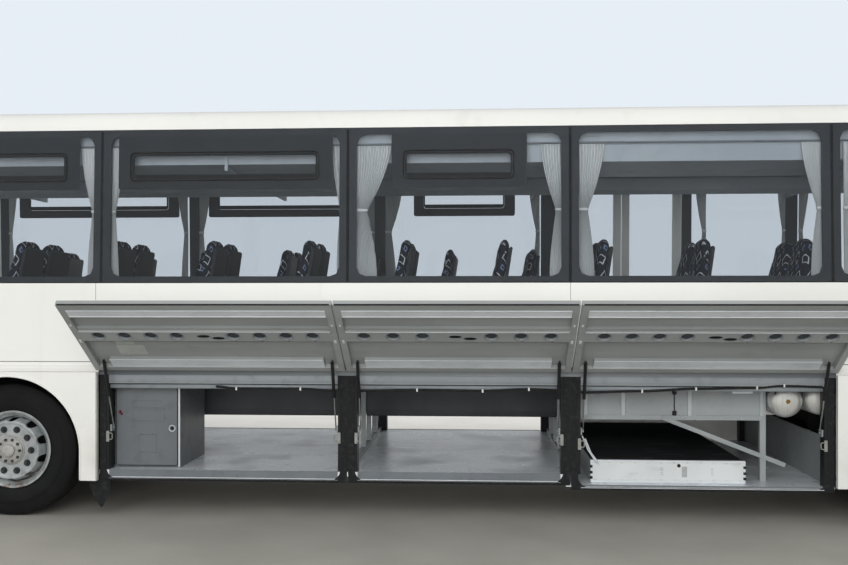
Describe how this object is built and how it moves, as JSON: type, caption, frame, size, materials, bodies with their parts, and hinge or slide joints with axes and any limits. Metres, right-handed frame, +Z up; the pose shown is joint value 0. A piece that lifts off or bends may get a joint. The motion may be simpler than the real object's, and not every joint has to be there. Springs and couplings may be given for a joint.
{
  "type": "coach bus",
  "caption": "Two-axle touring coach with open top-hinged luggage hatches, hollow cabin with seats, wheelchair lift cassette and twin rear wheels.",
  "frame": {"origin": "middle of the coach's box, on the ground under the tyres", "axes": "+X to the rear, front at -X; driver's side at -Y; +Z up"},
  "size_m": [13.0075, 4.0538, 3.4],
  "materials": {
    "frame_steel": "satin",
    "bay_floor": "scuffed",
    "cabin_floor": "vinyl covered",
    "white_panel": "gloss",
    "white_grp": "gloss",
    "black_band": "gloss",
    "side_glass": "tinted",
    "screen_glass": "clear",
    "lamp_lens": "clear",
    "black_plastic": "grained",
    "seat_fabric": "woven",
    "grey_liner": "matte",
    "curtain": "sheer",
    "grey_panel": "satin",
    "tank_alloy": "mill",
    "lift_white": "scuffed",
    "engine_iron": "rough",
    "axle_iron": "rough",
    "tyre_rubber": "matte",
    "rim_steel": "silver, rust in the gutter",
    "hatch_alloy": "painted outside",
    "strut_black": "satin",
    "rod_steel": "polished"
  },
  "bodies": {
    "root": {"chassis_frames": "frame_steel", "luggage_floor": "bay_floor", "cabin_floor": "cabin_floor", "side_wall_left": "white_panel", "side_wall_right": "white_panel", "window_frames": "black_band", "window_glass": "side_glass", "windscreen": "screen_glass", "roof_shell": "white_grp", "roof_units": "white_grp", "front_mask": "white_grp", "front_bumper": "white_grp", "rear_mask": "white_grp", "lamps": "lamp_lens", "mirrors": "black_plastic", "dashboard": "black_plastic", "driver_seat": "seat_fabric", "passenger_seats": "seat_fabric", "racks": "grey_liner", "curtains": "curtain", "arch_liners": "black_plastic", "bay_frames": "grey_panel", "bay_cabinet": "grey_panel", "centre_duct": "grey_panel", "air_tanks": "tank_alloy", "lift_cassette": "lift_white", "engine_block": "engine_iron", "front_axle": "axle_iron", "rear_axle": "axle_iron"},
    "knuckle_left": {"knuckle_left": "axle_iron"},
    "knuckle_right": {"knuckle_right": "axle_iron"},
    "steering_wheel": {"steering_wheel": "black_plastic"},
    "engine_flap": {"engine_flap": "white_grp"},
    "front_door_arm": {"front_door_arm": "strut_black"},
    "front_door": {"front_door": "white_panel"},
    "lift_door_front": {"lift_door_front": "white_panel"},
    "lift_door_rear": {"lift_door_rear": "white_panel"},
    "front_wheel_left": {"front_tyre_left": "tyre_rubber", "front_rim_left": "rim_steel"},
    "rear_wheels_left": {"rear_tyres_left": "tyre_rubber", "rear_rims_left": "rim_steel"},
    "front_wheel_right": {"front_tyre_right": "tyre_rubber", "front_rim_right": "rim_steel"},
    "rear_wheels_right": {"rear_tyres_right": "tyre_rubber", "rear_rims_right": "rim_steel"},
    "hatch_left_1": {"hatch_left_1": "hatch_alloy"},
    "strut_tubes_left_1": {"strut_tubes_left_1": "strut_black"},
    "strut_rods_left_1": {"strut_rods_left_1": "rod_steel"},
    "hatch_left_2": {"hatch_left_2": "hatch_alloy"},
    "strut_tubes_left_2": {"strut_tubes_left_2": "strut_black"},
    "strut_rods_left_2": {"strut_rods_left_2": "rod_steel"},
    "hatch_left_3": {"hatch_left_3": "hatch_alloy"},
    "strut_tubes_left_3": {"strut_tubes_left_3": "strut_black"},
    "strut_rods_left_3": {"strut_rods_left_3": "rod_steel"},
    "hatch_right_1": {"hatch_right_1": "hatch_alloy"},
    "strut_tubes_right_1": {"strut_tubes_right_1": "strut_black"},
    "strut_rods_right_1": {"strut_rods_right_1": "rod_steel"},
    "hatch_right_2": {"hatch_right_2": "hatch_alloy"},
    "strut_tubes_right_2": {"strut_tubes_right_2": "strut_black"},
    "strut_rods_right_2": {"strut_rods_right_2": "rod_steel"}
  },
  "joints": [
    {"name": "steer_left", "type": "hinge", "parent": "root", "child": "knuckle_left", "pos_m": [-3.8, -0.86, 0.522], "axis": [0, 0, 1], "range_deg": [-42, 42]},
    {"name": "front_wheel_left_spin", "type": "hinge", "parent": "knuckle_left", "child": "front_wheel_left", "pos_m": [-3.8, -1.05, 0.522], "axis": [0, 1, 0], "continuous": true},
    {"name": "rear_wheels_left_spin", "type": "hinge", "parent": "root", "child": "rear_wheels_left", "pos_m": [3.25, -0.925, 0.522], "axis": [0, 1, 0], "continuous": true},
    {"name": "steer_right", "type": "hinge", "parent": "root", "child": "knuckle_right", "pos_m": [-3.8, 0.86, 0.522], "axis": [0, 0, 1], "range_deg": [-42, 42]},
    {"name": "front_wheel_right_spin", "type": "hinge", "parent": "knuckle_right", "child": "front_wheel_right", "pos_m": [-3.8, 1.05, 0.522], "axis": [0, 1, 0], "continuous": true},
    {"name": "rear_wheels_right_spin", "type": "hinge", "parent": "root", "child": "rear_wheels_right", "pos_m": [3.25, 0.925, 0.522], "axis": [0, 1, 0], "continuous": true},
    {"name": "steering_wheel_turn", "type": "hinge", "parent": "root", "child": "steering_wheel", "pos_m": [-5.82, -0.72, 1.83], "axis": [0.5039, 0, 0.8638], "range_deg": [-504, 504]},
    {"name": "hatch_left_1_lid", "type": "hinge", "parent": "root", "child": "hatch_left_1", "pos_m": [0, -1.277, 1.191], "axis": [1, 0, 0], "range_deg": [0, 125]},
    {"name": "strut_tubes_left_1_swing", "type": "hinge", "parent": "hatch_left_1", "child": "strut_tubes_left_1", "pos_m": [0, -1.37858, 1.23771], "axis": [1, 0, 0], "range_deg": [-134.2, 0]},
    {"name": "strut_rods_left_1_slide", "type": "slide", "parent": "strut_tubes_left_1", "child": "strut_rods_left_1", "axis": [0, 0.3516, -0.9362], "range_m": [-0.186, 0]},
    {"name": "hatch_left_2_lid", "type": "hinge", "parent": "root", "child": "hatch_left_2", "pos_m": [0, -1.277, 1.191], "axis": [1, 0, 0], "range_deg": [0, 125]},
    {"name": "strut_tubes_left_2_swing", "type": "hinge", "parent": "hatch_left_2", "child": "strut_tubes_left_2", "pos_m": [0, -1.37858, 1.23771], "axis": [1, 0, 0], "range_deg": [-134.2, 0]},
    {"name": "strut_rods_left_2_slide", "type": "slide", "parent": "strut_tubes_left_2", "child": "strut_rods_left_2", "axis": [0, 0.3516, -0.9362], "range_m": [-0.186, 0]},
    {"name": "hatch_left_3_lid", "type": "hinge", "parent": "root", "child": "hatch_left_3", "pos_m": [0, -1.277, 1.191], "axis": [1, 0, 0], "range_deg": [0, 125]},
    {"name": "strut_tubes_left_3_swing", "type": "hinge", "parent": "hatch_left_3", "child": "strut_tubes_left_3", "pos_m": [0, -1.37858, 1.23771], "axis": [1, 0, 0], "range_deg": [-134.2, 0]},
    {"name": "strut_rods_left_3_slide", "type": "slide", "parent": "strut_tubes_left_3", "child": "strut_rods_left_3", "axis": [0, 0.3516, -0.9362], "range_m": [-0.186, 0]},
    {"name": "hatch_right_1_lid", "type": "hinge", "parent": "root", "child": "hatch_right_1", "pos_m": [0, 1.277, 1.191], "axis": [-1, 0, 0], "range_deg": [0, 125]},
    {"name": "strut_tubes_right_1_swing", "type": "hinge", "parent": "hatch_right_1", "child": "strut_tubes_right_1", "pos_m": [0, 1.37858, 1.23771], "axis": [-1, 0, 0], "range_deg": [-134.2, 0]},
    {"name": "strut_rods_right_1_slide", "type": "slide", "parent": "strut_tubes_right_1", "child": "strut_rods_right_1", "axis": [0, -0.3516, -0.9362], "range_m": [-0.186, 0]},
    {"name": "hatch_right_2_lid", "type": "hinge", "parent": "root", "child": "hatch_right_2", "pos_m": [0, 1.277, 1.191], "axis": [-1, 0, 0], "range_deg": [0, 125]},
    {"name": "strut_tubes_right_2_swing", "type": "hinge", "parent": "hatch_right_2", "child": "strut_tubes_right_2", "pos_m": [0, 1.37858, 1.23771], "axis": [-1, 0, 0], "range_deg": [-134.2, 0]},
    {"name": "strut_rods_right_2_slide", "type": "slide", "parent": "strut_tubes_right_2", "child": "strut_rods_right_2", "axis": [0, -0.3516, -0.9362], "range_m": [-0.186, 0]},
    {"name": "front_door_swing", "type": "hinge", "parent": "root", "child": "front_door_arm", "pos_m": [-5.19, 1.15, 1.6], "axis": [0, 0, -1], "range_deg": [0, 149.15]},
    {"name": "front_door_leaf", "type": "hinge", "parent": "front_door_arm", "child": "front_door", "pos_m": [-5.61551, 1.212, 1.6], "axis": [0, 0, -1], "range_deg": [-149.15, 0]},
    {"name": "lift_door_front_swing", "type": "hinge", "parent": "root", "child": "lift_door_front", "pos_m": [0.704, 1.277, 1.7], "axis": [0, 0, 1], "range_deg": [0, 95]},
    {"name": "lift_door_rear_swing", "type": "hinge", "parent": "root", "child": "lift_door_rear", "pos_m": [1.896, 1.277, 1.7], "axis": [0, 0, -1], "range_deg": [0, 95]},
    {"name": "engine_flap_lid", "type": "hinge", "parent": "root", "child": "engine_flap", "pos_m": [6.504, 0, 1.551], "axis": [0, -1, 0], "range_deg": [0, 75]}
  ],
  "couplings": [
    {"joint": "steer_right", "follows": "steer_left", "ratio": 1},
    {"joint": "steering_wheel_turn", "follows": "steer_left", "ratio": 12},
    {"joint": "strut_tubes_left_1_swing", "follows": "hatch_left_1_lid", "ratio": -1.0696},
    {"joint": "strut_rods_left_1_slide", "follows": "hatch_left_1_lid", "m_per_rad": -0.084792},
    {"joint": "strut_tubes_left_2_swing", "follows": "hatch_left_2_lid", "ratio": -1.0696},
    {"joint": "strut_rods_left_2_slide", "follows": "hatch_left_2_lid", "m_per_rad": -0.084792},
    {"joint": "strut_tubes_left_3_swing", "follows": "hatch_left_3_lid", "ratio": -1.0696},
    {"joint": "strut_rods_left_3_slide", "follows": "hatch_left_3_lid", "m_per_rad": -0.084792},
    {"joint": "strut_tubes_right_1_swing", "follows": "hatch_right_1_lid", "ratio": -1.0696},
    {"joint": "strut_rods_right_1_slide", "follows": "hatch_right_1_lid", "m_per_rad": -0.084792},
    {"joint": "strut_tubes_right_2_swing", "follows": "hatch_right_2_lid", "ratio": -1.0696},
    {"joint": "strut_rods_right_2_slide", "follows": "hatch_right_2_lid", "m_per_rad": -0.084792},
    {"joint": "front_door_leaf", "follows": "front_door_swing", "ratio": -1}
  ]
}
